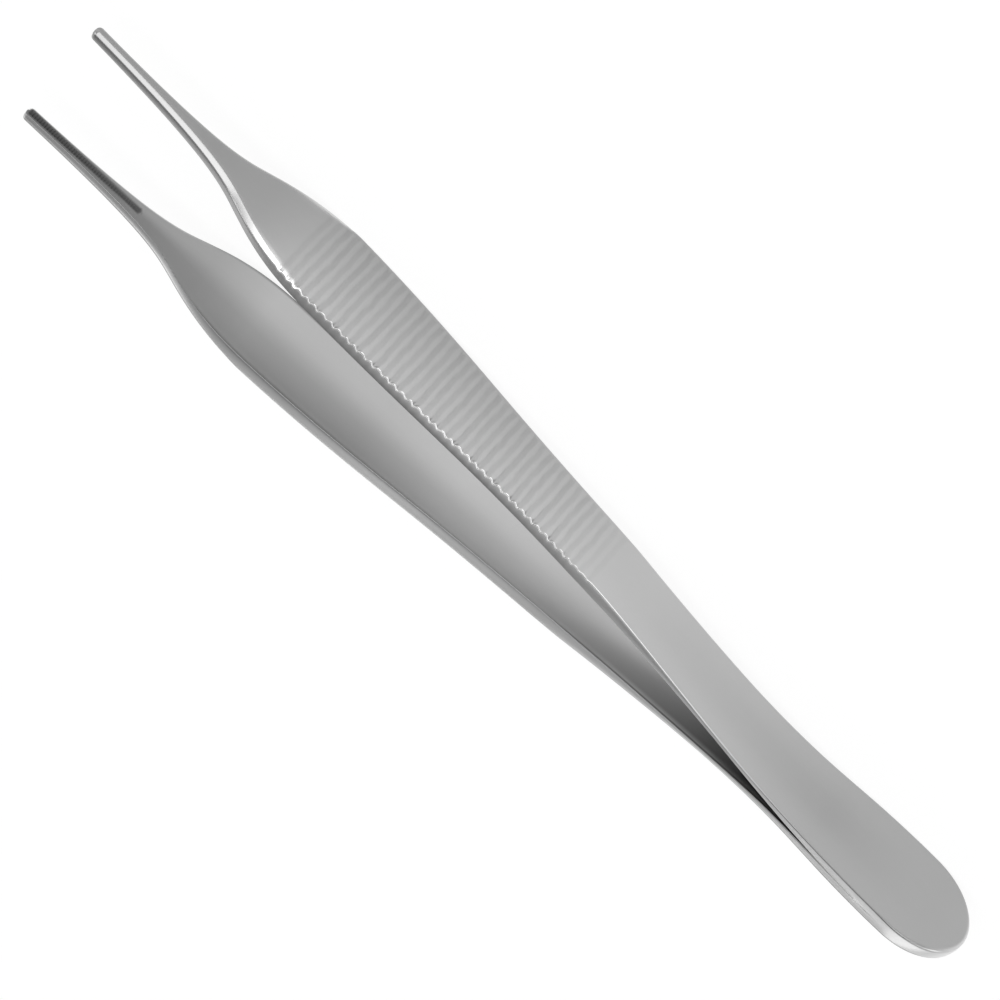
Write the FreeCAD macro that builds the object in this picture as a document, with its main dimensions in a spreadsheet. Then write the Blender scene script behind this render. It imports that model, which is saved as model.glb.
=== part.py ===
import FreeCAD, Part
import os
import Sketcher

# Thumb forceps: two bowed spring arms, welded together at the butt end.
# X runs from the butt to the tips, Y is the way the jaws open, and Z is the width.
# The forceps lies on its long side edges, with both arms upright on them.
# Each arm is drawn with the butt at X = 0 and its middle line at Z = 0, then set in place.

Vector = FreeCAD.Vector
doc = FreeCAD.newDocument("thumb_forceps")

# Driving dimensions in millimetres and degrees
dimensions = {
    "length": 120,              # butt to tips
    "butt_width": 10,           # widest part of the welded end
    "butt_round": 6.9,          # length of the rounded end
    "waist_width": 7.04,        # narrowest part of the spring
    "grip_width": 9.8,          # widest part of the finger grip
    "tip_width": 1.28,
    "tip_round": 0.5,           # corner radius of the tip
    "tip_round_share": 0.45,    # and its limit, as a share of the tip's width
    "flank_from": 14,           # where the butt starts to narrow
    "flank_middle": 20,
    "waist_from": 39.7,
    "waist_to": 48.8,
    "flare_at": 65,             # where the grip starts to widen
    "flare_share": 0.125,       # share of the widening that is reached there
    "swell_at": 78.7,
    "grip_widest": 88,
    "neck_from": 93.5,
    "neck_middle": 99.4,
    "tip_from": 104.3,          # from here the tip is narrow
    "butt_thickness": 1.0,
    "spring_thickness": 0.58,   # thinnest part of the spring
    "grip_thickness": 1.62,
    "tip_thickness": 1.32,
    "flat_length": 13,          # flat part of the outer face at the butt
    "spring_at": 22.9,          # control point at the foot of the spring
    "spring_offset": 0.71,      # its distance from the parting plane
    "bow_at": 33.6,             # control point of the outward bow
    "bow_offset": 2.12,
    "bend_from": 15.9,          # the outer face starts to leave the flat here
    "grip_start": 50,
    "grip_end": 92.6,
    "grip_offset": 4.99,        # outer face from the parting plane, at the grip's start
    "grip_slope": 5.76,         # angle of the outer face there
    "grip_radius": 678,         # bow of the grip
    "lead_in": 1.2,             # straight stretch between the spring and the grip
    "serration_pitch": 1.06,
    "serration_depth": 0.42,
    "serration_angle": 86,
    "first_serration": 0.65,    # from the start of the grip
    "edge_chamfer": 0.14,       # eased edge between the broad faces and the sides
    "edge_chamfer_share": 0.3,  # and its limit, as a share of the spring's thickness
    "bevel_start": 0.5,         # slanted shoulder, control sizes where the grip ends,
    "neck_bevel": 0.64,         # in the neck
    "tip_bevel": 0.4,           # and along the tip
    "jaw_tooth_pitch": 0.32,
    "jaw_tooth_depth": 0.1,
    "jaw_tooth_angle": 90,
    "jaw_length": 14.6,         # toothed part of the jaw
    "jaw_margin": 0.45,         # plain part at the very tip
    "jaw_band": 0.76,           # width of the toothed band
    "weld_length": 11,
    "weld_depth": 0.35,
    "weld_height": 0.5,
    "overcut": 2,               # how far the cutting shapes reach past the metal
}

sizes = doc.addObject("Spreadsheet::Sheet", "Sizes")
for row, (alias, value) in enumerate(dimensions.items(), start=1):
    sizes.set(f"A{row}", alias)
    sizes.set(f"B{row}", str(value))
    sizes.setAlias(f"B{row}", alias)
doc.recompute()

# Expressions that more than one sketch needs
BUTT = "Sizes.butt_width / 2"
WAIST = "Sizes.waist_width / 2"
GRIP = "Sizes.grip_width / 2"
TIP = "Sizes.tip_width / 2"
WIDEST = "max(Sizes.grip_width; Sizes.butt_width)"
BOW_X = "(Sizes.grip_start + Sizes.grip_radius * sin(Sizes.grip_slope))"
BOW_Y = "(Sizes.grip_offset - Sizes.grip_radius * cos(Sizes.grip_slope))"
END_ANGLE = f"asin(({BOW_X} - Sizes.grip_end) / Sizes.grip_radius)"
INNER_RADIUS = "(Sizes.grip_radius - Sizes.grip_thickness)"
TIP_OFFSET = (f"({BOW_Y} + Sizes.grip_radius * cos({END_ANGLE})"
              f" + (Sizes.length - Sizes.grip_end) * tan({END_ANGLE}))")
# A quarter of an ellipse drawn as a cubic curve has its handles at this share of each half axis
QUARTER = "0.5523"
# Edges are found by how far the faces beside them look along Y, and by where they end
OUTWARD = 0.7
SIDEWAYS = 0.2
NEAR = 0.01


def number(expression):
    value = sizes.evalExpression(expression)
    return float(getattr(value, "Value", value))


def originPlane(body, role):
    return next(plane for plane in body.Origin.OriginFeatures if plane.Role == role)


def newSketch(body, name, role):
    sketch = body.newObject("Sketcher::SketchObject", name)
    sketch.AttachmentSupport = [(originPlane(body, role), "")]
    sketch.MapMode = "FlatFace"
    return sketch


def pin(sketch, name, geometry, point, place):
    # Holds one point of a curve at a place given by two expressions
    for kind, letter, expression in zip(("DistanceX", "DistanceY"), "xy", place):
        index = sketch.addConstraint(
            Sketcher.Constraint(kind, -1, 1, geometry, point, number(expression)))
        sketch.renameConstraint(index, f"{name}_{letter}")
        sketch.setExpression(f"Constraints.{name}_{letter}", expression)


def at(place):
    return Vector(number(place[0]), number(place[1]), 0)


def line(sketch, name, start, end):
    index = sketch.addGeometry(Part.LineSegment(at(start), at(end)), False)
    pin(sketch, name + "_start", index, 1, start)
    pin(sketch, name + "_end", index, 2, end)


def curve(sketch, name, places):
    # A cubic curve whose control points are all held
    poles = [at(place) for place in places]
    degree = 3
    spans = len(poles) - degree
    shape = Part.BSplineCurve()
    ends = [degree + 1] + [1] * (spans - 1) + [degree + 1]
    shape.buildFromPolesMultsKnots(poles, ends, [float(k) for k in range(spans + 1)], False, degree)
    index = sketch.addGeometry(shape, False)
    sketch.exposeInternalGeometry(index)
    for order, place in enumerate(places, start=1):
        pin(sketch, f"{name}_{order}", index + order, 3, place)


def arc(sketch, name, centre, start, end):
    # A shallow arc that bows towards +Y, from the start (left) to the end (right)
    middle, first, last = at(centre), at(start), at(end)
    circle = Part.Circle(middle, Vector(0, 0, 1), (first - middle).Length)
    shape = Part.ArcOfCircle(circle, circle.parameter(last), circle.parameter(first))
    index = sketch.addGeometry(shape, False)
    pin(sketch, name + "_centre", index, 3, centre)
    pin(sketch, name + "_start", index, 2, start)
    across = sketch.addConstraint(
        Sketcher.Constraint("DistanceX", -1, 1, index, 1, number(end[0])))
    sketch.renameConstraint(across, name + "_end_x")
    sketch.setExpression(f"Constraints.{name}_end_x", end[0])


def onBow(radius, angle):
    # A point of the grip's bow, at an angle from the Y axis
    return (f"{BOW_X} - {radius} * sin({angle})", f"{BOW_Y} + {radius} * cos({angle})")


def along(place, distance, angle):
    return (f"{place[0]} - {distance} * cos({angle})", f"{place[1]} - {distance} * sin({angle})")


def drawSideProfile(body):
    # The arm seen from its edge: thick at the butt, thin in the spring, then the grip and the tip
    sketch = newSketch(body, "side_profile", "XY_Plane")
    slope = "Sizes.grip_slope"
    outerStart = onBow("Sizes.grip_radius", slope)
    outerEnd = onBow("Sizes.grip_radius", END_ANGLE)
    innerStart = onBow(INNER_RADIUS, slope)
    innerEnd = onBow(INNER_RADIUS, END_ANGLE)
    behind = "-Sizes.overcut"
    ahead = "Sizes.length + Sizes.overcut"
    outerTip = (ahead, f"{TIP_OFFSET} + Sizes.overcut * tan({END_ANGLE})")
    jawRise = f"({TIP_OFFSET} - Sizes.tip_thickness - ({innerEnd[1]}))"
    jawRun = f"(Sizes.length - ({innerEnd[0]}))"
    innerTip = (ahead, f"{innerEnd[1]} + {jawRise} * ({ahead} - ({innerEnd[0]})) / {jawRun}")
    outer = [
        ("Sizes.flat_length", "Sizes.butt_thickness"),
        ("Sizes.bend_from", "Sizes.butt_thickness"),
        ("Sizes.spring_at", "Sizes.spring_offset"),
        ("Sizes.bow_at", "Sizes.bow_offset"),
        along(outerStart, "2 * Sizes.lead_in", slope),
        along(outerStart, "Sizes.lead_in", slope),
        outerStart,
    ]
    inner = [
        ("Sizes.flat_length", "0"),
        ("Sizes.bend_from", "0"),
        ("Sizes.spring_at", "Sizes.spring_offset - Sizes.spring_thickness"),
        ("Sizes.bow_at", "Sizes.bow_offset - Sizes.spring_thickness"),
        along(innerStart, "2 * Sizes.lead_in", slope),
        along(innerStart, "Sizes.lead_in", slope),
        innerStart,
    ]
    line(sketch, "butt_end", (behind, "0"), (behind, "Sizes.butt_thickness"))
    line(sketch, "outer_flat", (behind, "Sizes.butt_thickness"), outer[0])
    curve(sketch, "outer_spring", outer)
    arc(sketch, "outer_grip", (BOW_X, BOW_Y), outerStart, outerEnd)
    line(sketch, "outer_tip", outerEnd, outerTip)
    line(sketch, "tip_end", outerTip, innerTip)
    line(sketch, "jaw", innerTip, innerEnd)
    arc(sketch, "inner_grip", (BOW_X, BOW_Y), innerStart, innerEnd)
    curve(sketch, "inner_spring", inner)
    line(sketch, "inner_flat", inner[0], (behind, "0"))
    return sketch


def box(sketch, name, left, right, low, high):
    corners = [(left, low), (right, low), (right, high), (left, high)]
    for order, corner in enumerate(corners):
        line(sketch, f"{name}_{order}", corner, corners[(order + 1) % 4])


def flank(side):
    # One long edge of the blade from the butt to the tip, on the side +1 or -1
    def half(width):
        return f"{side} * ({width})"
    round_end = [
        ("0", "0"),
        ("0", half(f"{QUARTER} * {BUTT}")),
        (f"(1 - {QUARTER}) * Sizes.butt_round", half(BUTT)),
        ("Sizes.butt_round", half(BUTT)),
    ]
    waist = [
        ("Sizes.butt_round", half(BUTT)),
        ("Sizes.flank_from", half(BUTT)),
        ("Sizes.flank_middle", half(f"({BUTT} + {WAIST}) / 2")),
        ("Sizes.waist_from", half(WAIST)),
        ("Sizes.waist_to", half(WAIST)),
        ("Sizes.flare_at", half(f"{WAIST} + ({GRIP} - {WAIST}) * Sizes.flare_share")),
        ("Sizes.swell_at", half(GRIP)),
        ("Sizes.grip_widest", half(GRIP)),
    ]
    neck = [(place, half(width)) for place, width in zip(NECK_PLACES, NECK_WIDTHS)]
    return round_end, waist, neck


NECK_PLACES = ["Sizes.grip_widest", "Sizes.neck_from", "Sizes.neck_middle", "Sizes.tip_from",
               "Sizes.length"]
NECK_WIDTHS = [GRIP, GRIP, f"({GRIP} + {TIP}) / 2", TIP, TIP]


def trimToOutline(body):
    # Cuts away all that lies outside the blade's outline, seen on its broad side
    sketch = newSketch(body, "outline", "XZ_Plane")
    over = "Sizes.overcut"
    box(sketch, "sheet", f"-2 * {over}", f"Sizes.length + 2 * {over}",
        f"-{WIDEST} / 2 - {over}", f"{WIDEST} / 2 + {over}")
    for side, word in ((1, "upper"), (-1, "lower")):
        for name, places in zip(("butt", "waist", "neck"), flank(side)):
            curve(sketch, f"{word}_{name}", places)
    line(sketch, "tip", ("Sizes.length", TIP), ("Sizes.length", f"-{TIP}"))
    cut(body, "outline_cut", sketch)
    doc.recompute()


def tipCorners(shape):
    # The two upright edges at the very tip
    names = []
    for order, edge in enumerate(shape.Edges, start=1):
        ends = [vertex.Point for vertex in edge.Vertexes]
        if all(abs(end.x - number("Sizes.length")) < NEAR for end in ends):
            if abs(ends[0].z - ends[-1].z) < NEAR:
                names.append(f"Edge{order}")
    return names


def broadEdges(shape):
    # The long edges between the broad faces and the sides
    names = []
    for order, edge in enumerate(shape.Edges, start=1):
        faces = shape.ancestorsOfType(edge, Part.Face)
        leans = sorted(abs(facing(face, edge)) for face in faces)
        if len(leans) == 2 and leans[1] > OUTWARD and leans[0] < SIDEWAYS:
            names.append(f"Edge{order}")
    return names


def facing(face, edge):
    # How far a face looks along Y beside an edge
    middle = edge.valueAt((edge.FirstParameter + edge.LastParameter) / 2)
    u, v = face.Surface.parameter(middle)
    return face.normalAt(u, v).y


def ease(body, kind, name, edges, dimension, expression):
    # Rounds or chamfers edges of the shape that the body has so far
    base = body.Tip
    feature = body.newObject("PartDesign::" + kind, name)
    feature.Base = (base, edges)
    feature.setExpression(dimension, expression)
    doc.recompute()


def cut(body, name, sketch, length=None, midplane=True):
    # A pocket through everything, or to a length given by an expression
    feature = body.newObject("PartDesign::Pocket", name)
    feature.Profile = sketch
    feature.Midplane = midplane
    if length is None:
        feature.Type = "ThroughAll"
    else:
        feature.setExpression("Length", length)
    return feature


def bevelNeck(body):
    # Slants the shoulders of the neck and the tip at 45 degrees on both sides
    sketch = newSketch(body, "neck_bevel_edge", "XZ_Plane")
    depths = ["0", "Sizes.bevel_start", "Sizes.neck_bevel", "Sizes.tip_bevel", "Sizes.tip_bevel"]
    edge = []
    for place, width, depth in zip(NECK_PLACES, NECK_WIDTHS, depths):
        outer = f"{TIP_OFFSET} - (Sizes.length - {place}) * tan({END_ANGLE})"
        edge.append((place, f"{width} + {outer} - {depth}"))
    reach = f"{edge[0][1]} + Sizes.overcut"
    curve(sketch, "edge", edge)
    line(sketch, "front", edge[-1], (edge[-1][0], reach))
    line(sketch, "far", (edge[-1][0], reach), (edge[0][0], reach))
    line(sketch, "back", (edge[0][0], reach), edge[0])
    bevel = cut(body, "neck_bevel", sketch, f"2 * ({TIP_OFFSET})", False)
    bevel.AlongSketchNormal = False
    bevel.UseCustomVector = True
    bevel.Direction = Vector(0, 1, -1)
    doc.recompute()
    both = body.newObject("PartDesign::Mirrored", "neck_bevels")
    both.Originals = [bevel]
    both.MirrorPlane = (originPlane(body, "XY_Plane"), [""])
    body.Tip = both
    doc.recompute()


def drawWeldBand(body):
    # The band along the rim of the butt that the weld fills
    sketch = newSketch(body, "weld_band", "XZ_Plane")
    inner = f"({BUTT} - Sizes.weld_depth)"
    far = f"({BUTT} + Sizes.overcut)"
    back = "-Sizes.overcut"
    for side, word in (("1", "upper"), ("-1", "lower")):
        curve(sketch, f"{word}_rim", [
            ("Sizes.weld_depth", "0"),
            ("Sizes.weld_depth", f"{side} * {QUARTER} * {inner}"),
            (f"Sizes.butt_round - {QUARTER} * (Sizes.butt_round - Sizes.weld_depth)",
             f"{side} * {inner}"),
            ("Sizes.butt_round", f"{side} * {inner}"),
        ])
        line(sketch, f"{word}_side", ("Sizes.butt_round", f"{side} * {inner}"),
             ("Sizes.weld_length", f"{side} * {inner}"))
        line(sketch, f"{word}_end", ("Sizes.weld_length", f"{side} * {inner}"),
             ("Sizes.weld_length", f"{side} * {far}"))
        line(sketch, f"{word}_far", ("Sizes.weld_length", f"{side} * {far}"),
             (back, f"{side} * {far}"))
    line(sketch, "behind", (back, far), (back, f"-{far}"))
    return sketch


def notch(body, name, depth, height, angle):
    # A V with its point towards +Y, or towards -Y for a negative height
    sketch = newSketch(body, name, "XY_Plane")
    half = f"abs({height} - ({depth})) * tan({angle} / 2)"
    point, left, right = ("0", depth), (f"-{half}", height), (half, height)
    for order, (start, end) in enumerate(((point, left), (left, right), (right, point))):
        line(sketch, f"side_{order}", start, end)
    return sketch


def place(sketch, spot, angle):
    # Moves a sketch in its own plane and turns it there
    for axis, expression in zip("xy", spot):
        sketch.setExpression(f".AttachmentOffset.Base.{axis}", expression)
    sketch.setExpression(".AttachmentOffset.Rotation.Angle", angle)


def cutSerrations(body):
    # Grip grooves square to the bowed face, repeated about the bow's centre
    groove = notch(body, "groove_shape", "Sizes.grip_radius - Sizes.serration_depth",
                   "Sizes.grip_radius + Sizes.serration_depth", "Sizes.serration_angle")
    step = "(Sizes.serration_pitch / Sizes.grip_radius) * 1 rad"
    place(groove, (BOW_X, BOW_Y),
          "Sizes.grip_slope * 1 deg - Sizes.first_serration / Sizes.grip_radius * 1 rad")
    first = cut(body, "first_groove", groove)
    doc.recompute()
    grooves = body.newObject("PartDesign::PolarPattern", "grip_grooves")
    grooves.Originals = [first]
    grooves.Axis = (groove, ["N_Axis"])
    grooves.Reversed = True
    grooves.Mode = "Spacing"
    grooves.setExpression("Offset", step)
    grooves.setExpression("Occurrences",
                          "floor((Sizes.grip_end - Sizes.grip_start) / Sizes.serration_pitch)")
    body.Tip = grooves
    doc.recompute()


def cutJawTeeth(body):
    # Fine cross teeth on the jaw's flat inner face, counted from the tip
    innerEnd = onBow(INNER_RADIUS, END_ANGLE)
    tipY = f"({TIP_OFFSET} - Sizes.tip_thickness)"
    slope = f"atan(({tipY} - ({innerEnd[1]})) / (Sizes.length - ({innerEnd[0]})))"
    tooth = notch(body, "jaw_tooth_shape", "Sizes.jaw_tooth_depth", "-Sizes.jaw_tooth_depth",
                  "Sizes.jaw_tooth_angle")
    place(tooth, (f"Sizes.length - Sizes.jaw_margin * cos({slope})",
                  f"{tipY} - Sizes.jaw_margin * sin({slope})"), slope)
    first = cut(body, "first_jaw_tooth", tooth, "Sizes.jaw_band")
    doc.recompute()
    teeth = body.newObject("PartDesign::LinearPattern", "jaw_teeth")
    teeth.Originals = [first]
    teeth.Direction = (tooth, ["H_Axis"])
    teeth.Reversed = True
    teeth.Mode = "Spacing"
    teeth.setExpression("Offset", "Sizes.jaw_tooth_pitch")
    teeth.setExpression("Occurrences", "floor(Sizes.jaw_length / Sizes.jaw_tooth_pitch)")
    body.Tip = teeth
    doc.recompute()


def setInPlace(body):
    # The origin of the part is under its middle, on the table
    body.setExpression(".Placement.Base.x", "-Sizes.length / 2")
    body.setExpression(".Placement.Base.z", f"{WIDEST} / 2")


def makeArm(name):
    body = doc.addObject("PartDesign::Body", name)
    body.Label = name
    blade = body.newObject("PartDesign::Pad", "blade")
    blade.Profile = drawSideProfile(body)
    blade.Midplane = True
    blade.setExpression("Length", f"{WIDEST} + Sizes.overcut")
    doc.recompute()
    trimToOutline(body)
    ease(body, "Fillet", "tip_corners", tipCorners(body.Shape), "Radius",
         "min(Sizes.tip_round; Sizes.tip_width * Sizes.tip_round_share)")
    ease(body, "Chamfer", "eased_edges", broadEdges(body.Shape), "Size",
         "min(Sizes.edge_chamfer; Sizes.spring_thickness * Sizes.edge_chamfer_share)")
    bevelNeck(body)
    cut(body, "weld_rebate", drawWeldBand(body), "Sizes.weld_height / 2", False)
    doc.recompute()
    cutSerrations(body)
    cutJawTeeth(body)
    setInPlace(body)
    return body


def makeWeld(name):
    # Weld metal that fills the rim of the butt and is ground flush with the arms
    body = doc.addObject("PartDesign::Body", name)
    body.Label = name
    bead = body.newObject("PartDesign::Pad", "bead")
    bead.Profile = drawWeldBand(body)
    bead.Midplane = True
    bead.setExpression("Length", "Sizes.weld_height")
    doc.recompute()
    trimToOutline(body)
    setInPlace(body)
    return body


rearArm = makeArm("rear_arm")
frontArm = doc.addObject("Part::Mirroring", "front_arm")
frontArm.Label = "front_arm"
frontArm.Source = rearArm
frontArm.Normal = (0, 1, 0)
weld = makeWeld("butt_weld")
doc.recompute()

failed = [item.Name for item in doc.Objects
          if any(word in str(item.State) for word in ("Invalid", "Error"))]
if failed:
    raise RuntimeError("these features failed: " + ", ".join(failed))

os.makedirs("parts", exist_ok=True)
for piece in (rearArm, frontArm, weld):
    shape = piece.Shape
    if shape.isNull() or not shape.isValid() or len(shape.Solids) != 1:
        raise RuntimeError(piece.Label + " is not one sound solid")
    shape.exportStep(f"parts/{piece.Label}.step")
    print(f"{piece.Label}: {shape.Volume:.1f} cubic millimetres, {len(shape.Faces)} faces")
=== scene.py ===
from math import asin, cos, pi, radians, sin, tan

import bmesh
import bpy
import numpy as np
from mathutils import Matrix, Vector


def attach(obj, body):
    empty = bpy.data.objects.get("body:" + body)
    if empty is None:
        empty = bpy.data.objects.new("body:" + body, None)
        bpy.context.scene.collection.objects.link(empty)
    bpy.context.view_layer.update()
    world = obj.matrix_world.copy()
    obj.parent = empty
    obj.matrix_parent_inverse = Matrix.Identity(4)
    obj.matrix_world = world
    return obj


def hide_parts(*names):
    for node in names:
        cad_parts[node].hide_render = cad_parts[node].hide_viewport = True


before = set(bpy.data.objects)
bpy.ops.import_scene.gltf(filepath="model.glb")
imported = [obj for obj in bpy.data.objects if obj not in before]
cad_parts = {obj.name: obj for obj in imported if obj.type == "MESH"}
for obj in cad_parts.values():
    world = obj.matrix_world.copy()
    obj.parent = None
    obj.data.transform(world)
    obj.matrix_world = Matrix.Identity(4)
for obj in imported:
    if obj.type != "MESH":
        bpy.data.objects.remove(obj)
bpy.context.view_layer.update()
mm = 0.001
print("frame loaded:", ", ".join(sorted(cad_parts)))


camera = {
    "place": (0.028022, -0.464966, 0.369034),
    "right": (-0.716502, -0.454810, -0.528935),
    "up": (0.696145, -0.417494, -0.584021),
    "lens": 222.86, "sensor": 36.0, "near": 0.01, "far": 50,
}


def addObject(name, data):
    item = bpy.data.objects.new(name, data)
    bpy.context.scene.collection.objects.link(item)
    return item


def makeCamera(v):
    # The camera's own axes are its right, its up and the way back from the object
    right = Vector(v["right"]).normalized()
    back = right.cross(Vector(v["up"])).normalized()
    up = back.cross(right)
    data = bpy.data.cameras.new("photoCamera")
    data.lens, data.sensor_width = v["lens"], v["sensor"]
    data.clip_start, data.clip_end = v["near"], v["far"]
    item = addObject("photoCamera", data)
    turn = Matrix((right, up, back)).transposed()
    item.matrix_world = Matrix.Translation(v["place"]) @ turn.to_4x4()
    bpy.context.scene.camera = item


makeCamera(camera)
print("camera placed")


def splineCurve(poles, count=1500):
    # Cubic curve with clamped even knots: Cox-de Boor basis functions, summed with the poles
    poles = np.asarray(poles, float)
    spans = len(poles) - 3
    knots = np.concatenate([np.zeros(3), np.arange(spans + 1), np.full(3, spans)])
    at = np.linspace(0, spans - 1e-9, count)[:, None]  # just short of the last knot
    basis = ((at >= knots[:-1]) & (at < knots[1:])).astype(float)
    for degree in (1, 2, 3):
        n = len(knots) - 1 - degree
        low, high = knots[:n], knots[degree + 1:degree + 1 + n]
        rise, fall = knots[degree:degree + n] - low, high - knots[1:1 + n]
        rise, fall = np.where(rise > 0, rise, np.inf), np.where(fall > 0, fall, np.inf)
        basis = (at - low) / rise * basis[:, :n] + (high - at) / fall * basis[:, 1:n + 1]
    return (basis @ poles).T


def softStep(low, high, value):
    # 0 at low, 1 at high, 3t^2 - 2t^3 between; it falls where low is the larger one
    t = np.clip((value - low) / (high - low), 0, 1)
    return t * t * (3 - 2 * t)


def softRamp(value, softness):
    # max(value, 0) with its corner rounded: (v + sqrt(v^2 + s^2)) / 2
    return (value + np.sqrt(value ** 2 + softness ** 2)) / 2


def row(values):
    # Values as one row, which spreads over a column of stations
    return np.asarray(values, float)[None, :]


def joined(*parts):
    # Arrays side by side, the columns of one after those of the other
    return np.concatenate(parts, axis=1)


# least distances in metres, and the angle from which an edge is sharp
meshLimits = {"merge": 2e-7, "thin": 1e-8, "sharpAngle": radians(50)}


def makeMesh(name, points, faces, marks):
    # Points in millimetres; doubles merged, faces turned outwards, sharp edges kept
    mesh = bpy.data.meshes.new(name)
    mesh.from_pydata((points * mm).tolist(), [], faces)
    for label, values in marks.items():
        layer = mesh.attributes.new(label, "FLOAT", "POINT")
        layer.data.foreach_set("value", np.ascontiguousarray(values, np.float32))
    work = bmesh.new()
    work.from_mesh(mesh)
    bmesh.ops.remove_doubles(work, verts=work.verts, dist=meshLimits["merge"])
    bmesh.ops.dissolve_degenerate(work, edges=work.edges, dist=meshLimits["thin"])
    bmesh.ops.recalc_face_normals(work, faces=work.faces)
    work.to_mesh(mesh)
    work.free()
    mesh.shade_smooth()
    mesh.set_sharp_from_angle(angle=meshLimits["sharpAngle"])
    return addObject(name, mesh)


def gridFaces(rows, columns):
    # Quads between neighbouring rows, whose last column meets the first
    index = np.arange(rows * columns).reshape(rows, columns)
    index = joined(index, index[:, :1])
    corners = (index[:-1, :-1], index[1:, :-1], index[1:, 1:], index[:-1, 1:])
    return np.stack(corners, -1).reshape(-1, 4).tolist()


blade = {
    # plan outline in millimetres, from the butt to the tip
    "length": 120.0, "buttHalf": 5.0, "noseLength": 6.9, "waistHalf": 3.52, "gripHalf": 4.9,
    "tipHalf": 0.64, "tipRound": 0.5,
    "flankFrom": 14.0, "flankMiddle": 20.0, "waistFrom": 39.7, "waistTo": 48.8, "flareAt": 65.0,
    "flareShare": 0.125, "swellAt": 78.7, "gripWidest": 88.0,
    "neckFrom": 93.5, "neckMiddle": 99.4, "tipFrom": 104.3,
    # side profile
    "buttThick": 1.0, "springThick": 0.58, "gripThick": 1.62, "tipThick": 1.32,
    "flatLength": 13.0, "bendFrom": 15.9, "springAt": 22.9, "springOffset": 0.71,
    "bowAt": 33.6, "bowOffset": 2.12, "leadIn": 1.2,
    "gripStart": 50.0, "gripEnd": 92.6, "gripOffset": 4.99, "gripSlope": radians(5.76),
    "gripRadius": 678.0,
    # slanted shoulders: widths at the poles of the neck, the width at which the ridge gets its
    # full rounding, its least rounding, and the most of the face that lies inside the ridge
    "bevels": (0.0, 0.50, 0.64, 0.40, 0.40), "ridgeFull": 0.2, "ridgeLeast": 1e-6,
    "ridgeShare": 0.93,
    # eased edges and the crown of the sides, at places along the blade, and how high a side is
    # at least
    "easeAt": (0, 3, 9, 40, 52, 90, 96, 120),
    "outerEase": (0.45, 0.30, 0.11, 0.12, 0.10, 0.09, 0.12, 0.16),
    "bevelSoft": (0.1, 0.1, 0.1, 0.1, 0.1, 0.14, 0.22, 0.26),
    "sideCrown": (0.12, 0.10, 0.08, 0.045, 0.06, 0.06, 0.055, 0.025),
    "shiftAt": (0, 24, 31, 46, 52, 91, 98, 120), "crownShift": (0, 0, 0.6, 0.6, 0, 0, 0.8, 0.8),
    "innerEaseAt": (11, 18, 28, 96, 104, 120),
    "innerEase": (0.04, 0.12, 0.07, 0.06, 0.1, 0.12), "leastWall": 0.05,
    # where the crown stops spanning both blades together
    "togetherTo": 14.0, "apartFrom": 24.0,
    # the rebate at the rim of the butt that the weld fills
    "weldTo": 11.0, "weldHalf": 0.25, "weldDepth": 0.35,
}

grip = {
    "count": 40, "pitch": 1.06, "depth": 0.42, "halfAngle": radians(43), "first": 0.65,
    "softValley": 0.09, "softCrest": 0.06, "samples": 13,
    "runIn": (0.3, 0.5, 0.7, 0.85, 0.95, 1.0), "runOut": (1.0, 0.8, 0.55),
    # full depth at the toothed edge, soft shallow waves over the face, a plain far edge
    "edgeReach": 0.75, "faceDepth": 0.17, "farDepth": 0.14, "lean": 0.7, "land": 0.5,
    # how far the grooves waver and how unevenly deep they are, each with the angles in radians
    # that its waves turn by per millimetre of width and per groove
    "wander": 0.10, "wanderTurns": ((1.7, 2.4), (0.8, 1.3)),
    "uneven": 0.15, "unevenTurns": (0.5, 3.7),
}

jaw = {
    "count": 45, "pitch": 0.32, "depth": 0.06, "margin": 0.45, "bandHalf": 0.38,
    "recess": 0.035, "softEdge": 0.13, "softCrest": 0.02, "samples": 6,
    # how far past the last tooth the band fades out
    "fade": (0.1, 0.3),
}
jawEnd = blade["length"] - jaw["margin"]
jawStart = jawEnd - jaw["pitch"] * (jaw["count"] - 0.5)

grid = {
    # how many points stand along each stretch of the blade and over each eased edge
    "bow": 400, "nose": 40, "weld": 10, "free": 7, "spring": 80, "neck": 56, "ahead": 4,
    "corner": 10, "end": 4, "outerTurn": 7, "side": 7, "innerTurn": 5,
    # least steps at the weld's end, before the first groove and before the tip's corner
    "weldGap": 0.002, "grooveGap": 0.05, "cornerGap": 0.02,
    # where points stand across the outer face, down the shoulder and across the inner face
    "flat": (0, 0.3, 0.56, 0.76, 0.9, 0.97, 1), "slant": (0.05, 0.3, 0.6, 0.85, 1),
    "inner": (0.93, 0.86, 0.82, 0.79, 0.76, 0.73, 0.68, 0.5, 0.25, 0),
    # the rebate's step: across to its depth, then down to the middle plane
    "stepAcross": (0.5, 1, 1, 1), "stepDown": (1, 1, 0.5, 0),
}


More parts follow.
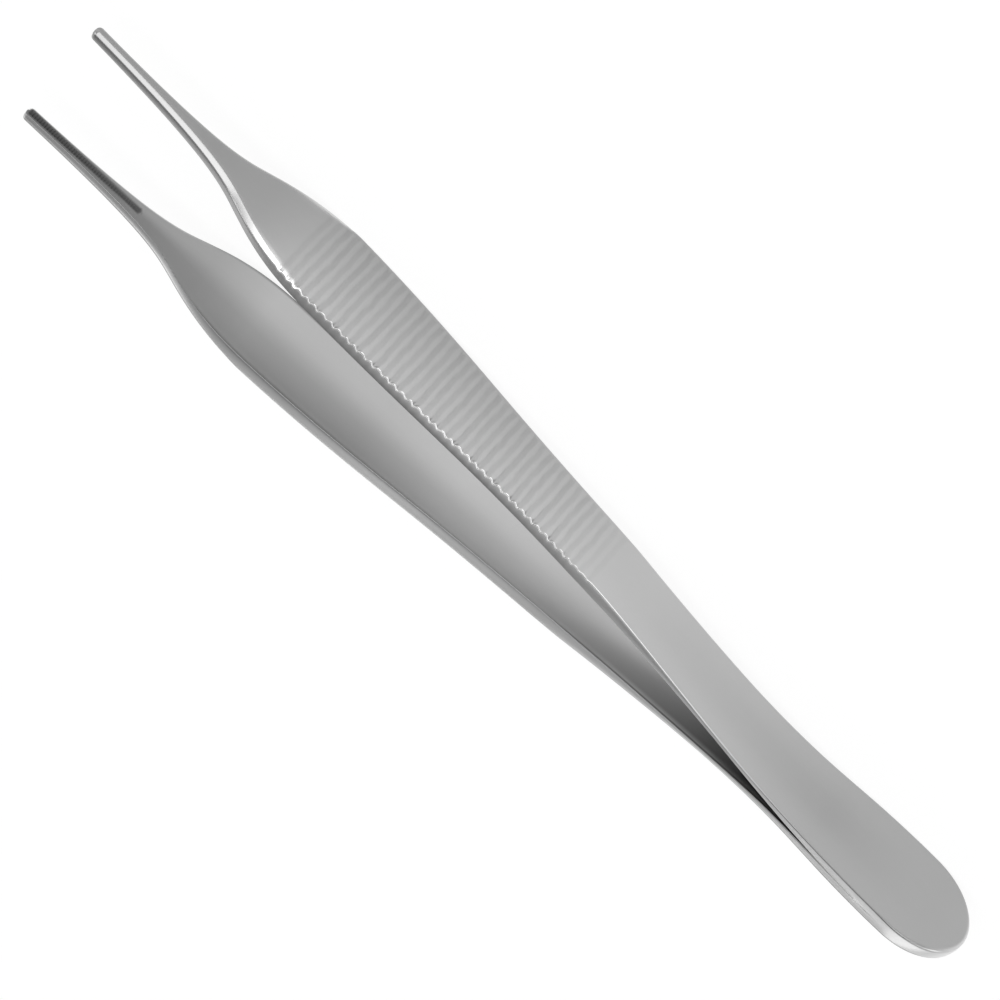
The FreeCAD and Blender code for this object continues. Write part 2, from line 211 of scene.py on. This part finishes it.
def bladeCurves(v):
    # Dense tables of the outer height, the inner height, the half width and the shoulder. The
    # grip's bow is an arc, and cubic curves join it to the flat butt
    slope, radius = v["gripSlope"], v["gripRadius"]
    centre = np.array([v["gripStart"] + radius * sin(slope), v["gripOffset"] - radius * cos(slope)])
    endAngle = asin((centre[0] - v["gripEnd"]) / radius)
    tipHeight = centre[1] + radius * cos(endAngle) + (v["length"] - v["gripEnd"]) * tan(endAngle)
    angles = np.linspace(slope, endAngle, grid["bow"])
    along = np.array([cos(slope), sin(slope)])

    def height(reach, foot, thin, atTip):
        bow = centre[:, None] + reach * np.array([-np.sin(angles), np.cos(angles)])
        first = bow[:, 0]
        poles = [(v["flatLength"], foot), (v["bendFrom"], foot),
                 (v["springAt"], v["springOffset"] - thin), (v["bowAt"], v["bowOffset"] - thin),
                 first - 2 * v["leadIn"] * along, first - v["leadIn"] * along, first]
        spring = splineCurve(poles)
        line = np.array([[0, v["flatLength"]], [foot, foot]])
        end = np.array([[v["length"]], [atTip]])
        return joined(line, spring[:, 1:], bow[:, 1:], end)

    b, w, g, t = v["buttHalf"], v["waistHalf"], v["gripHalf"], v["tipHalf"]
    waist = splineCurve([
        (v["noseLength"], b), (v["flankFrom"], b), (v["flankMiddle"], (b + w) / 2),
        (v["waistFrom"], w), (v["waistTo"], w), (v["flareAt"], w + (g - w) * v["flareShare"]),
        (v["swellAt"], g), (v["gripWidest"], g)])
    places = (v["gripWidest"], v["neckFrom"], v["neckMiddle"], v["tipFrom"], v["length"])
    neck = splineCurve(list(zip(places, (g, g, (g + t) / 2, t, t))))
    half = joined(waist, neck[:, 1:])
    return {
        "outer": height(radius, v["buttThick"], 0, tipHeight),
        "inner": height(radius - v["gripThick"], 0, v["springThick"], tipHeight - v["tipThick"]),
        "half": half,
        "lean": np.array([half[0], np.gradient(half[1], half[0])]),
        "bevel": splineCurve(list(zip(places, v["bevels"]))),
        "centre": centre,
    }


curves = bladeCurves(blade)
print("curves of the blade worked out")


def readCurve(name, x):
    # The curve's value at x, straight between the points of its table
    return np.interp(x, curves[name][0], curves[name][1])


def stationPlaces(v):
    # Places along the blade: close together on grooves and teeth, wider on the plain spring
    gap, corner = grid["weldGap"], v["length"] - v["tipRound"]
    butt = np.linspace(v["noseLength"], v["weldTo"] - gap, grid["weld"])
    free = np.linspace(v["weldTo"] + gap, v["flankFrom"], grid["free"])
    spring = np.linspace(v["flankFrom"], v["gripStart"], grid["spring"])[1:]
    steps = np.arange(grip["count"] * grip["samples"]) / grip["samples"] - 0.5
    angles = v["gripSlope"] - (grip["first"] + grip["pitch"] * steps) / v["gripRadius"]
    grooves = curves["centre"][0] - v["gripRadius"] * np.sin(angles)
    neck = np.linspace(grooves[-1], jawStart, grid["neck"])[1:-1]
    grooves = grooves[grooves > v["gripStart"] + grid["grooveGap"]]
    teeth = jawStart + jaw["pitch"] * np.arange(jaw["count"] * jaw["samples"]) / jaw["samples"]
    teeth = teeth[teeth < corner - grid["cornerGap"]]
    ahead = np.linspace(teeth[-1], corner, grid["ahead"])[1:-1]
    return np.concatenate([butt, free, spring, grooves, neck, teeth, ahead])


def noseOutline(v):
    # The butt's quarter ellipse x = a (1 - cos t), z = b sin t, with the way inwards at each point
    a, b = v["noseLength"], v["buttHalf"]
    turn = np.linspace(0, pi / 2, grid["nose"])[:-1]
    x, z = a * (1 - np.cos(turn)), b * np.sin(turn)
    return x, z, (a - x) / a ** 2, -z / b ** 2


def bladeStations(v):
    # Half of the plan outline as points with inward normals: the butt's ellipse, the long side,
    # the tip's corner as a quarter circle of radius r, and the flat end
    length, r = v["length"], v["tipRound"]
    inner = v["tipHalf"] - r
    body = stationPlaces(v)
    turn = np.linspace(0, pi / 2, grid["corner"])
    end = np.linspace(inner, 0, grid["end"])[1:]
    stretches = [
        noseOutline(v),
        (body, readCurve("half", body), readCurve("lean", body), 0 * body - 1),
        (length - r + r * np.sin(turn), inner + r * np.cos(turn), -np.sin(turn), -np.cos(turn)),
        (length + 0 * end, end, 0 * end - 1, 0 * end)]
    x, z, nx, nz = (np.concatenate(parts) for parts in zip(*stretches))
    size = np.hypot(nx, nz)
    return x, z, nx / size, nz / size


def grooveShare(order, z):
    # How deep each groove is: less at both ends of the grip, and a little uneven between
    last = grip["count"] - 1
    starts = range(len(grip["runIn"]))
    ends = range(last - len(grip["runOut"]) + 1, last + 1)
    share = np.interp(order, [*starts, *ends], grip["runIn"] + grip["runOut"])
    across, along = grip["unevenTurns"]
    return share * (1 + grip["uneven"] * np.sin(along * order + across * z))


def grooveDepth(x, z, side):
    # Depth of the grip grooves square to the bow, the bow's angle from Y at x, and how far down
    # in a groove each point lies. At the toothed edge a groove is a V of half angle h with a soft
    # valley, d - sqrt(a^2 + s^2) / tan h at the distance a from its middle, and a soft crest;
    # over the face it is a cosine wave (1 + cos(t + l sin^2 t)) / 2 that leans by l
    v = blade
    angle = np.arcsin(np.clip((curves["centre"][0] - x) / v["gripRadius"], -1, 1))
    arc = v["gripRadius"] * (v["gripSlope"] - angle) - grip["first"]
    order = np.clip(np.round(arc / grip["pitch"]), 0, grip["count"] - 1)
    (firstAcross, firstAlong), (nextAcross, nextAlong) = grip["wanderTurns"]
    arc = arc + grip["wander"] * (np.sin(firstAcross * z + firstAlong * order)
                                  * np.cos(nextAcross * z + nextAlong * order))
    away = arc - order * grip["pitch"]
    share, half = grooveShare(order, z), readCurve("half", x)

    steep = tan(grip["halfAngle"])
    depth = grip["depth"] - np.sqrt(away ** 2 + grip["softValley"] ** 2) / steep
    spare = grip["depth"] - 0.5 * grip["pitch"] / steep
    sharp = softRamp(depth, grip["softCrest"]) - softRamp(spare, grip["softCrest"])
    sharp = np.clip(sharp, 0, None) * share

    turn = 2 * pi * np.clip(away / grip["pitch"], -0.5, 0.5)
    wave = (1 + np.cos(turn + grip["lean"] * np.sin(turn) ** 2)) / 2
    wave = wave * share * softStep(0, grip["land"], half - side * z)
    across = np.clip((half + side * z) / (2 * half), 0, 1)
    shallow = wave * (grip["faceDepth"] + (grip["farDepth"] - grip["faceDepth"]) * across)

    atEdge = 1 - softStep(0, grip["edgeReach"], half + side * z)
    return atEdge * sharp + (1 - atEdge) * shallow, angle, wave


def toothHeight(x, z):
    # Height of the jaw's cross teeth, max(d - a, 0) at the distance a from the nearest tooth's
    # middle with a soft crest, inside a band with a round start, and how far inside the band
    # each point lies
    order = np.clip(np.round((jawEnd - x) / jaw["pitch"]), 0, jaw["count"] - 1)
    away = np.abs(jawEnd - order * jaw["pitch"] - x)
    middle = np.clip(x, jawStart + jaw["bandHalf"], jawEnd)
    distance = np.hypot(x - middle, z) - jaw["bandHalf"]
    inside = 1 - softStep(-jaw["softEdge"], jaw["softEdge"], distance)
    inside = inside * (1 - softStep(jawEnd + jaw["fade"][0], jawEnd + jaw["fade"][1], x))
    return inside * (jaw["recess"] + softRamp(jaw["depth"] - away, jaw["softCrest"])), inside


paintedLight = {
    # painted light and shade: how bright each face of the ground steel is painted at places along
    # the blade, 1 on a plain satin face
    "at": (0, 3, 8, 18, 30, 45, 55, 65, 75, 90, 97, 104, 120),
    "face": (0.78, 0.78, 0.80, 0.81, 0.92, 1.0, 1.0, 0.92, 0.91, 0.88, 0.69, 0.62, 0.60),
    "side": (1.4, 1.15, 1.1, 1.6, 0.85, 0.72, 0.83, 0.86, 0.88, 0.92, 0.92, 0.78, 0.55),
    "edge": (1.3, 0.65, 0.33, 0.45, 0.8, 1.1, 1.5, 1.7, 1.8, 1.7, 0.90, 0.80, 0.70),
    "inner": (0.7, 0.7, 0.7, 0.7, 0.86, 1.03, 1.1, 1.08, 1.0, 0.98, 0.74, 0.64, 0.50),
    # painted shade: how much the outer face darkens along its middle and towards the grip's plain
    # edge
    "faceMiddle": (0, 0, 0.02, 0.12, 0.09, 0.03, 0, 0, 0, 0, 0, 0, 0), "middleAt": (0.9, 0.1),
    "faceFall": (0, 0, 0, 0, 0, 0, 0.10, 0.14, 0.15, 0.15, 0.05, 0, 0),
    # painted shade: how much the inner face darkens towards the plain edge, and its painted
    # highlight, a light rim there
    "innerFall": (0.1, 0.1, 0.1, 0.1, 0.15, 0.15, 0.17, 0.2, 0.26, 0.27, 0.27, 0.3, 0.4),
    "innerRim": (0, 0, 0, 1.2, 1.8, 0.3, 0.06, 0.06, 0.1, 0.1, 0.05, 0.05, 0),
    "innerLevel": 1.03, "fallAt": (-0.45, 0.35), "rimAt": (0.78, 0.98),
    # where along the blade the edges take a painted highlight and where the neck starts, how far
    # down an edge starts and ends to be painted bright, how much further on the neck, and by which
    # share of the eased edge it is painted bright before the grip
    "brightAt": (46, 52), "neckAt": (93, 98), "edgeDrop": (0.01, 0.06), "neckDrop": 0.14,
    "rimTo": 0.4,
    # how the inner edge's tone passes into the inner face's, over its four points
    "blend": (0.05, 0.25, 0.6, 1),
}

# Painted light and shade where the half with the plain edge and the half with the toothed edge
# differ: the tone of the inner edge, by how much the side's tone changes at its foot and how
# late, by how much it changes as a whole and rises towards the outer edge as a painted highlight,
# how much darker the neck's shoulder is painted, and whether the inner edge's tone passes into
# the inner face's
plainTones = {
    "innerEdge": (0.2, 0.2, 0.6, 0.35, 0.45, 0.5, 0.48, 0.46, 0.46, 0.46, 0.5, 0.45, 0.4),
    "foot": (1.0, 1.0, 1.0, 1.0, 1.0, 1.0, 0.7, 0.5, 0.5, 0.5, 0.95, 1.3, 1.8), "footPower": 5,
    "side": (1.0, 1.0, 1.0, 1.0, 1.3, 1.35, 1.3, 1.28, 1.28, 1.28, 1.3, 1.1, 1.1),
    "rim": (0, 0, 0, 0, 0.2, 0.2, 0.1, 0.1, 0.1, 0.2, 0.5, 2.0, 2.0),
    "darker": 0.15, "blended": 1,
}
toothedTones = {
    "innerEdge": (0.2, 0.2, 0.6, 0.5, 1.8, 1.9, 0.6, 0.38, 0.35, 0.35, 0.6, 1.2, 1.4),
    "foot": (1.0, 1.0, 1.0, 1.0, 1.0, 1.0, 0.55, 0.36, 0.34, 0.38, 0.95, 1.3, 1.8), "footPower": 2,
    "side": (1.0,) * len(paintedLight["at"]), "rim": (0.0,) * len(paintedLight["at"]),
    "darker": 0, "blended": 0,
}


def toneAt(tones, x):
    # The tone at x, straight between the places along the blade
    return np.interp(x, paintedLight["at"], tones)


class BladeHalf:
    # One half of the blade: a column of stations along it, each with a row of points over the
    # outer face, the side, the inner edge and the inner face. side is 1 for the half with the
    # plain edge and -1 for the half with the toothed grip edge

    def __init__(self, side):
        v = blade
        self.side = side
        self.tones = plainTones if side > 0 else toothedTones
        self.x, self.z, self.nx, self.nz = (part[:, None] for part in bladeStations(v))
        x = self.x
        self.full = np.where(x < v["noseLength"], v["buttHalf"], readCurve("half", x))
        self.shoulder = readCurve("bevel", x) * (x > v["gripWidest"])
        self.outer, self.inner = readCurve("outer", x), readCurve("inner", x)
        self.ease = np.interp(x, v["easeAt"], v["outerEase"])
        self.innerEase = np.interp(x, v["innerEaseAt"], v["innerEase"])
        self.lowest = self.inner + self.innerEase + v["leastWall"]
        self.welded = x < v["weldTo"]
        self.groove, self.angle, _ = grooveDepth(x, self.full, side)
        top = self.outer - self.groove * np.cos(self.angle) - self.ease - self.shoulder
        self.sideTop = np.maximum(top, self.lowest)
        self.sideFoot = np.where(self.welded, v["weldHalf"], self.inner + self.innerEase)

    def crownInset(self, y):
        # The side's crown c (y - m)^2 / h^2: over both blades together at the butt, and over
        # each blade by itself further on, where its middle m leans to one edge
        v, thick = blade, self.outer - self.inner
        apart = softStep(v["togetherTo"], v["apartFrom"], self.x)
        shift = -self.side * np.interp(self.x, v["shiftAt"], v["crownShift"])
        middle = apart * (self.outer + self.inner + shift * thick) / 2
        reach = (1 - apart) * v["buttThick"] + apart * thick / 2
        return np.interp(self.x, v["easeAt"], v["sideCrown"]) * ((y - middle) / reach) ** 2

    def moved(self, inset):
        # The outline moved inwards by the inset, no further than the middle line
        return self.x + inset * self.nx, np.clip(self.z + inset * self.nz, 0, None)

    def shoulderDrop(self, x, z):
        # Depth of the slanted shoulder, its width less the distance inside the outline, with a
        # soft ridge; it follows the outline round the corner of the tip too
        v = blade
        soft = np.interp(self.x, v["easeAt"], v["bevelSoft"])
        soft = soft * np.clip(self.shoulder / v["ridgeFull"], 0, 1)
        pastCorner = np.clip(x - (v["length"] - v["tipRound"]), 0, None)
        overCorner = np.clip(z - (self.full - v["tipRound"]), 0, None)
        inCorner = v["tipRound"] - np.hypot(pastCorner, overCorner)
        inside = np.where(pastCorner > 0, inCorner, self.full - z)
        return softRamp(self.shoulder - inside, soft + v["ridgeLeast"])

    def outerFace(self):
        # From the middle to the shoulder's ridge, down the shoulder, and over the eased edge by
        # a quarter circle, with the grooves cut square to the bow
        sideInset = self.crownInset(self.sideTop)
        edgeX, edgeZ = self.moved(sideInset + self.ease)
        ridge = np.minimum(self.full - self.shoulder, blade["ridgeShare"] * edgeZ)
        faceZ = joined(ridge * row(grid["flat"]), ridge + (edgeZ - ridge) * row(grid["slant"]))
        turn = row(np.linspace(0, pi / 2, grid["outerTurn"])[1:])
        rimX, rimZ = self.moved(sideInset + self.ease * (1 - np.sin(turn)))
        x, z = joined(edgeX + 0 * faceZ, rimX), joined(faceZ, rimZ)
        rim = joined(0 * faceZ, 0 * rimZ + turn / (pi / 2))
        dropped = self.shoulderDrop(x, z) + joined(0 * faceZ, self.ease * (1 - np.cos(turn)))
        cut, lean, wave = grooveDepth(x, z, self.side)
        y = np.maximum(readCurve("outer", x) - dropped - cut * np.cos(lean), self.lowest)
        y[:, -1:] = self.sideTop
        x = x + cut * np.sin(lean)
        return x, y, z, self.outerMarks(x, z, dropped, rim, wave)

    def outerMarks(self, x, z, dropped, rim, wave):
        # The face, with painted light and shade where its edge or shoulder drops away, a painted
        # highlight over most of the blade and a painted dark line at the butt, and painted shade
        # towards the grip's plain edge and along its middle; rim runs from 0 to 1 over the eased
        # edge
        low, high = paintedLight["edgeDrop"]
        bright, onNeck = softStep(*paintedLight["brightAt"], x), softStep(*paintedLight["neckAt"], x)
        edge = softStep(low, high + paintedLight["neckDrop"] * onNeck, dropped)
        edge = np.maximum(edge, softStep(0, paintedLight["rimTo"], rim) * (1 - bright))
        edgeTone = toneAt(paintedLight["edge"], x) * (1 - self.tones["darker"] * onNeck)
        edgeTone = edgeTone + (toneAt(paintedLight["side"], x) - edgeTone) * onNeck * rim
        tone = toneAt(paintedLight["face"], x) * (1 - edge) + edgeTone * edge
        tone = tone * (1 - toneAt(paintedLight["faceFall"], x) * self.side * z / blade["gripHalf"])
        middle = softStep(*paintedLight["middleAt"], z / self.full)
        tone = tone * (1 - toneAt(paintedLight["faceMiddle"], x) * middle)
        return {"tone": tone, "polished": edge * bright, "grooved": wave}

    def sideFace(self):
        # Down the crowned side, on which the lean of the grooves fades out; its tone is painted
        # light and shade, changed at its foot and with a painted highlight towards the outer edge
        share = row(np.linspace(0, 1, grid["side"])[1:])
        y = self.sideTop + (self.sideFoot - self.sideTop) * share
        x, z = self.moved(self.crownInset(y))
        x = x + self.groove * np.sin(self.angle) * (1 - share)
        foot = 1 + (toneAt(self.tones["foot"], x) - 1) * share ** self.tones["footPower"]
        rim = 1 + toneAt(self.tones["rim"], x) * (1 - share) ** 2
        tone = toneAt(paintedLight["side"], x) * foot * toneAt(self.tones["side"], x) * rim
        return x, y, z, {"tone": tone}

    def innerEdge(self, bright):
        # A quarter circle, or the step that the weld fills, with a painted tone of light and shade;
        # along the bright stretch of the plain edge its tone passes into the inner face's
        v, footInset = blade, self.crownInset(self.sideFoot)
        turn = row(np.linspace(0, pi / 2, grid["innerTurn"])[1:])
        roundInset = footInset + self.innerEase * (1 - np.cos(turn))
        roundY = self.inner + self.innerEase * (1 - np.sin(turn))
        stepInset = footInset + (v["weldDepth"] - footInset) * row(grid["stepAcross"])
        stepY = v["weldHalf"] * row(grid["stepDown"])
        x, z = self.moved(np.where(self.welded, stepInset, roundInset))
        y = np.where(self.welded, stepY, roundY)
        tone = toneAt(self.tones["innerEdge"], x)
        faceTone = self.innerTone(x[:, -1:], grid["inner"][0] * z[:, -1:])
        blend = self.tones["blended"] * row(paintedLight["blend"]) * bright
        return x, y, z, {"tone": tone + (faceTone - tone) * blend}

    def innerTone(self, x, z):
        # Painted shade: the inner face darkens from the toothed edge to the plain one, and has a
        # painted highlight, a light rim, there
        toPlain = self.side * z / self.full
        fall = toneAt(paintedLight["innerFall"], x) * softStep(*paintedLight["fallAt"], toPlain)
        rim = toneAt(paintedLight["innerRim"], x) * softStep(*paintedLight["rimAt"], toPlain)
        return toneAt(paintedLight["inner"], x) * (paintedLight["innerLevel"] - fall + rim)

    def innerFace(self, edgeX, edgeZ):
        # From the inner edge to the middle, with the tooth band at the jaw
        x, z = edgeX + 0 * row(grid["inner"]), edgeZ * row(grid["inner"])
        teeth, inside = toothHeight(x, z)
        y = readCurve("inner", x) + teeth
        return x, y, z, {"tone": self.innerTone(x, z), "toothed": inside}

    def section(self):
        # All the faces side by side; a mark that a face doesn't have is 0 on it
        outer = self.outerFace()
        low = self.innerEdge(softStep(*paintedLight["brightAt"], outer[0][:, :1]))
        inner = self.innerFace(low[0][:, -1:], low[2][:, -1:])
        parts = [outer, self.sideFace(), low, inner]
        points = [joined(*(part[axis] for part in parts)) for axis in range(3)]
        marks = {label: joined(*(part[3].get(label, 0 * part[0]) for part in parts))
                 for label in ("toothed", "polished", "grooved", "tone")}
        return points, marks


def bladePoints():
    # One closed ring to a station: the half with the plain edge, then the other half back
    plain, plainMarks = BladeHalf(1).section()
    toothed, toothedMarks = BladeHalf(-1).section()

    def ring(one, other):
        return joined(one, other[:, -2:0:-1])

    points = [ring(plain[0], toothed[0]), ring(plain[1], toothed[1]), ring(plain[2], -toothed[2])]
    marks = {label: ring(plainMarks[label], toothedMarks[label]) for label in plainMarks}
    return np.stack(points, -1), marks


def makeBlade(name, side):
    # side is 1 for the far blade and -1 for the near one, the same blade turned over about X
    points, marks = bladePoints()
    rows, columns = points.shape[:2]
    points = points.reshape(-1, 3) * (1, side, side)
    points = points + (-blade["length"] / 2, 0, blade["buttHalf"])
    marks = {label: values.ravel() for label, values in marks.items()}
    return makeMesh(name, points, gridFaces(rows, columns), marks)


weld = {
    # the parting line: its depth, where it starts, its half width and its tone
    "trace": 0.04, "traceFrom": 7.5, "traceWidth": 0.05, "traceTone": 0.55,
    # places along each straight side, and across the band from one blade to the other
    "straight": 16, "rise": (-1, -0.6, -0.3, -0.14, -0.07, 0, 0.07, 0.14, 0.3, 0.6, 1),
}


def makeWeld(name):
    # A band along the rim of both blades, crowned as their sides are, with the parting line
    # showing as a shallow V that fades towards the rounded end
    v = blade
    straight = np.linspace(v["noseLength"], v["weldTo"], weld["straight"])
    level = 0 * straight
    sides = straight, level + v["buttHalf"], level, level - 1
    rim = [np.concatenate(parts) for parts in zip(noseOutline(v), sides)]
    # down one side to the rounded end, and back up the other one
    x, z, nx, nz = (np.concatenate([part[::-1], way * part[1:]])[:, None]
                    for part, way in zip(rim, (1, -1, 1, -1)))
    size = np.hypot(nx, nz)
    y = v["weldHalf"] * row(weld["rise"])
    fade = softStep(weld["traceFrom"], v["weldTo"], x)
    trace = weld["trace"] * fade * np.clip(1 - np.abs(y) / weld["traceWidth"], 0, 1)
    crown = np.interp(x, v["easeAt"], v["sideCrown"])
    outside = crown * (y / v["buttThick"]) ** 2 + trace
    back, halfHeight = v["weldDepth"] + 0 * x, v["weldHalf"] + 0 * x
    inset = joined(outside, back, back, back)
    y = joined(y + 0 * x, halfHeight, 0 * x, -halfHeight)
    points = np.stack([x + inset * nx / size, y, z + inset * nz / size], -1)
    rows, columns = points.shape[:2]
    points = points.reshape(-1, 3) + (-v["length"] / 2, 0, v["buttHalf"])
    faces = gridFaces(rows, columns)
    faces += [list(range(columns)), list(range((rows - 1) * columns, rows * columns))]
    # the band takes the sides' painted light and shade, darker along the parting line
    tone = toneAt(paintedLight["side"], x) * (1 - (1 - weld["traceTone"]) * trace / weld["trace"])
    tone = joined(tone, np.repeat(tone[:, -1:], 3, axis=1)).ravel()
    none = 0 * tone
    marks = {"toothed": none, "polished": none, "grooved": none, "tone": tone}
    return makeMesh(name, points, faces, marks)


class Socket:
    # One output of a node, with Python's operators as Math nodes

    def __init__(self, tree, link):
        self.tree, self.link = tree, link

    def maths(self, operation, *values):
        return self.tree.node("ShaderNodeMath", {"operation": operation}, dict(enumerate(values)))

    def __add__(self, other):
        return self.maths("ADD", self, other)

    def __radd__(self, other):
        return self.maths("ADD", other, self)

    def __sub__(self, other):
        return self.maths("SUBTRACT", self, other)

    def __rsub__(self, other):
        return self.maths("SUBTRACT", other, self)

    def __mul__(self, other):
        return self.maths("MULTIPLY", self, other)

    def __rmul__(self, other):
        return self.maths("MULTIPLY", other, self)


class Tree:
    # A node tree, with one method that adds any node

    def __init__(self, tree):
        self.tree = tree
        tree.nodes.clear()

    def node(self, kind, settings=None, values=None, output=0):
        item = self.tree.nodes.new(kind)
        for key, value in (settings or {}).items():
            setattr(item, key, value)
        for key, value in (values or {}).items():
            if isinstance(value, Socket):
                self.tree.links.new(value.link, item.inputs[key])
            else:
                item.inputs[key].default_value = value
        return Socket(self, item.outputs[output]) if len(item.outputs) else item

    def mix(self, factor, first, second):
        # Colours mixed: 6 and 7 are the colour sockets of the Mix node, 2 its colour output
        return self.node("ShaderNodeMix", {"data_type": "RGBA"},
                         {0: factor, 6: first, 7: second}, output=2)


steel = {
    # reflected share of light on a plain satin face, and how it changes in grooves and teeth; the
    # grooves' change is painted shade in their valleys
    "level": 0.50, "valley": -0.13, "tooth": 0.38, "tint": (1.0, 1.0, 1.0, 1),
    "roughness": 0.30, "edgeRoughness": 0.22, "toothRoughness": 0.5,
    "fineRoughness": 0.04, "cloudRoughness": 0.05,
    # turns of the noise along X, Y and Z, and its detail
    "streaks": (180, 9000, 9000), "streakDetail": 3,
    "fineStreaks": (420, 26000, 26000), "fineDetail": 2,
    "clouds": (60, 170, 170), "cloudDetail": 2,
    "streakShare": 0.03, "cloudShare": 0.07,
    "bump": 0.04, "bumpDepth": 0.00002, "streakHeight": 0.6, "fineHeight": 0.4,
}


def steelMaterial(name, v):
    # Satin steel: long fine grinding streaks along X over broad soft clouds
    material = bpy.data.materials.new(name)
    material.use_nodes = True
    tree = Tree(material.node_tree)
    place = tree.node("ShaderNodeTexCoord", output=3)  # 3 is Object

    def noise(scale, detail):
        spot = tree.node("ShaderNodeMapping", None, {"Vector": place, "Scale": scale})
        return tree.node("ShaderNodeTexNoise", None,
                         {"Vector": spot, "Scale": 1.0, "Detail": detail})

    def mark(label):
        return tree.node("ShaderNodeAttribute", {"attribute_name": label}, output=2)  # 2 is Fac

    streaks = noise(v["streaks"], v["streakDetail"])
    fine = noise(v["fineStreaks"], v["fineDetail"])
    clouds = noise(v["clouds"], v["cloudDetail"])
    polished, toothed, grooved = mark("polished"), mark("toothed"), mark("grooved")
    mottle = 1 + v["streakShare"] * (streaks + fine - 1) + v["cloudShare"] * (clouds - 0.5)
    # tone carries the painted light and shade; grooved darkens the groove valleys as painted shade
    level = v["level"] * mark("tone") * mottle * (1 + v["valley"] * grooved)
    level = level * (1 - toothed * (1 - v["tooth"]))
    colour = tree.mix(level, (0, 0, 0, 1), v["tint"])
    roughness = v["roughness"] + v["fineRoughness"] * (fine - 0.5)
    roughness = roughness + v["cloudRoughness"] * (clouds - 0.5)
    roughness = roughness + (v["edgeRoughness"] - v["roughness"]) * polished
    roughness = roughness + (v["toothRoughness"] - v["roughness"]) * toothed
    height = (streaks * v["streakHeight"] + fine * v["fineHeight"]) * (1 - polished)
    bump = tree.node("ShaderNodeBump", None,
                     {"Strength": v["bump"], "Distance": v["bumpDepth"], "Height": height})
    shader = tree.node("ShaderNodeBsdfPrincipled", None,
                       {"Base Color": colour, "Metallic": 1.0, "Roughness": roughness,
                        "Normal": bump})
    tree.node("ShaderNodeOutputMaterial", None, {"Surface": shader})
    return material


armSteel = steelMaterial("satinSteel", steel)
weldSteel = steelMaterial("groundWeldSteel", dict(steel, cloudShare=0.09))
print("materials made")

frontBlade = makeBlade("front_blade", -1)
rearBlade = makeBlade("rear_blade", 1)
rimWeld = makeWeld("rim_weld")
for piece, node, slot, material in ((frontBlade, "front_arm", "arm_steel", armSteel),
                                    (rearBlade, "rear_arm", "arm_steel", armSteel),
                                    (rimWeld, "butt_weld", "weld_steel", weldSteel)):
    piece.data.materials.append(material)
    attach(piece, "root")
    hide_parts(node)
    print(piece.name, "has", len(piece.data.polygons), "faces")


studio = {
    # the sweep in metres, its colour, and how much white the camera and mirrors see on it
    "floorRadius": 2.4, "wallHeight": 1.1, "bend": 0.5, "rings": (0.0, 0.5, 1.0),
    "bendSteps": 13, "around": 96, "white": (0.93, 0.93, 0.93, 1), "lift": 0.90,
    "glossLift": 0.72,
    "world": 0.42,
    # the way to each square soft box, its width and its power
    "lampDistance": 1.5,
    "lamps": {
        "frontSoftBox": ((-0.05, -0.62, 0.79), 1.8, 18),
        "leftSoftBox": ((-0.9, -0.1, 0.6), 1.0, 5),
        "rightSoftBox": ((0.9, 0.0, 0.7), 1.0, 5),
        "backSoftBox": ((-0.45, 0.7, 0.62), 0.9, 3),
    },
}


def sweepMaterial(v):
    # White paper, which the camera and mirroring steel see nearly as bright as pure white
    material = bpy.data.materials.new("paleSweep")
    material.use_nodes = True
    tree = Tree(material.node_tree)
    seen, glossy, through = (tree.node("ShaderNodeLightPath", output=label)
                             for label in ("Is Camera Ray", "Is Glossy Ray", "Is Transmission Ray"))
    mirrored = glossy.maths("MAXIMUM", glossy, through)
    share = seen * v["lift"] + mirrored * v["glossLift"]
    paper = tree.node("ShaderNodeBsdfDiffuse", None, {"Color": v["white"]})
    white = tree.node("ShaderNodeEmission", None, {"Color": (1, 1, 1, 1), "Strength": 1.0})
    shader = tree.node("ShaderNodeMixShader", None, {0: share, 1: paper, 2: white})
    tree.node("ShaderNodeOutputMaterial", None, {"Surface": shader})
    return material


def makeSweep(v):
    # Floor disc that bends up into a round wall: a profile of radius and height, turned about Z
    turn = np.linspace(0, pi / 2, v["bendSteps"])
    flat = v["floorRadius"] - v["bend"]
    radius = np.concatenate([v["rings"], flat + v["bend"] * np.sin(turn), [v["floorRadius"]]])
    height = np.concatenate([np.zeros(len(v["rings"])), v["bend"] * (1 - np.cos(turn)),
                             [v["wallHeight"]]])
    around = np.linspace(0, 2 * pi, v["around"], endpoint=False)
    points = np.stack([radius[:, None] * np.cos(around), radius[:, None] * np.sin(around),
                       height[:, None] + 0 * around], -1)
    mesh = bpy.data.meshes.new("sweep")
    mesh.from_pydata(points.reshape(-1, 3).tolist(), [], gridFaces(len(radius), v["around"]))
    mesh.shade_smooth()
    mesh.materials.append(sweepMaterial(v))
    addObject("sweep", mesh)


def makeLamp(name, direction, distance, size, power):
    # A square soft box that looks at the middle of the object
    data = bpy.data.lights.new(name, "AREA")
    data.shape, data.size, data.energy = "SQUARE", size, power
    item = addObject(name, data)
    way = Vector(direction).normalized()
    item.location = way * distance
    item.rotation_mode = "QUATERNION"
    item.rotation_quaternion = way.to_track_quat("Z", "Y")
    item.visible_camera = False


def makeWorld(level):
    world = bpy.data.worlds.new("softWorld")
    bpy.context.scene.world = world
    world.use_nodes = True
    tree = Tree(world.node_tree)
    sky = tree.node("ShaderNodeBackground", None, {"Color": (1, 1, 1, 1), "Strength": level})
    tree.node("ShaderNodeOutputWorld", None, {"Surface": sky})


makeSweep(studio)
for name, (direction, size, power) in studio["lamps"].items():
    makeLamp(name, direction, studio["lampDistance"], size, power)
makeWorld(studio["world"])
bpy.context.scene.view_settings.view_transform = "Standard"
print("studio lit")
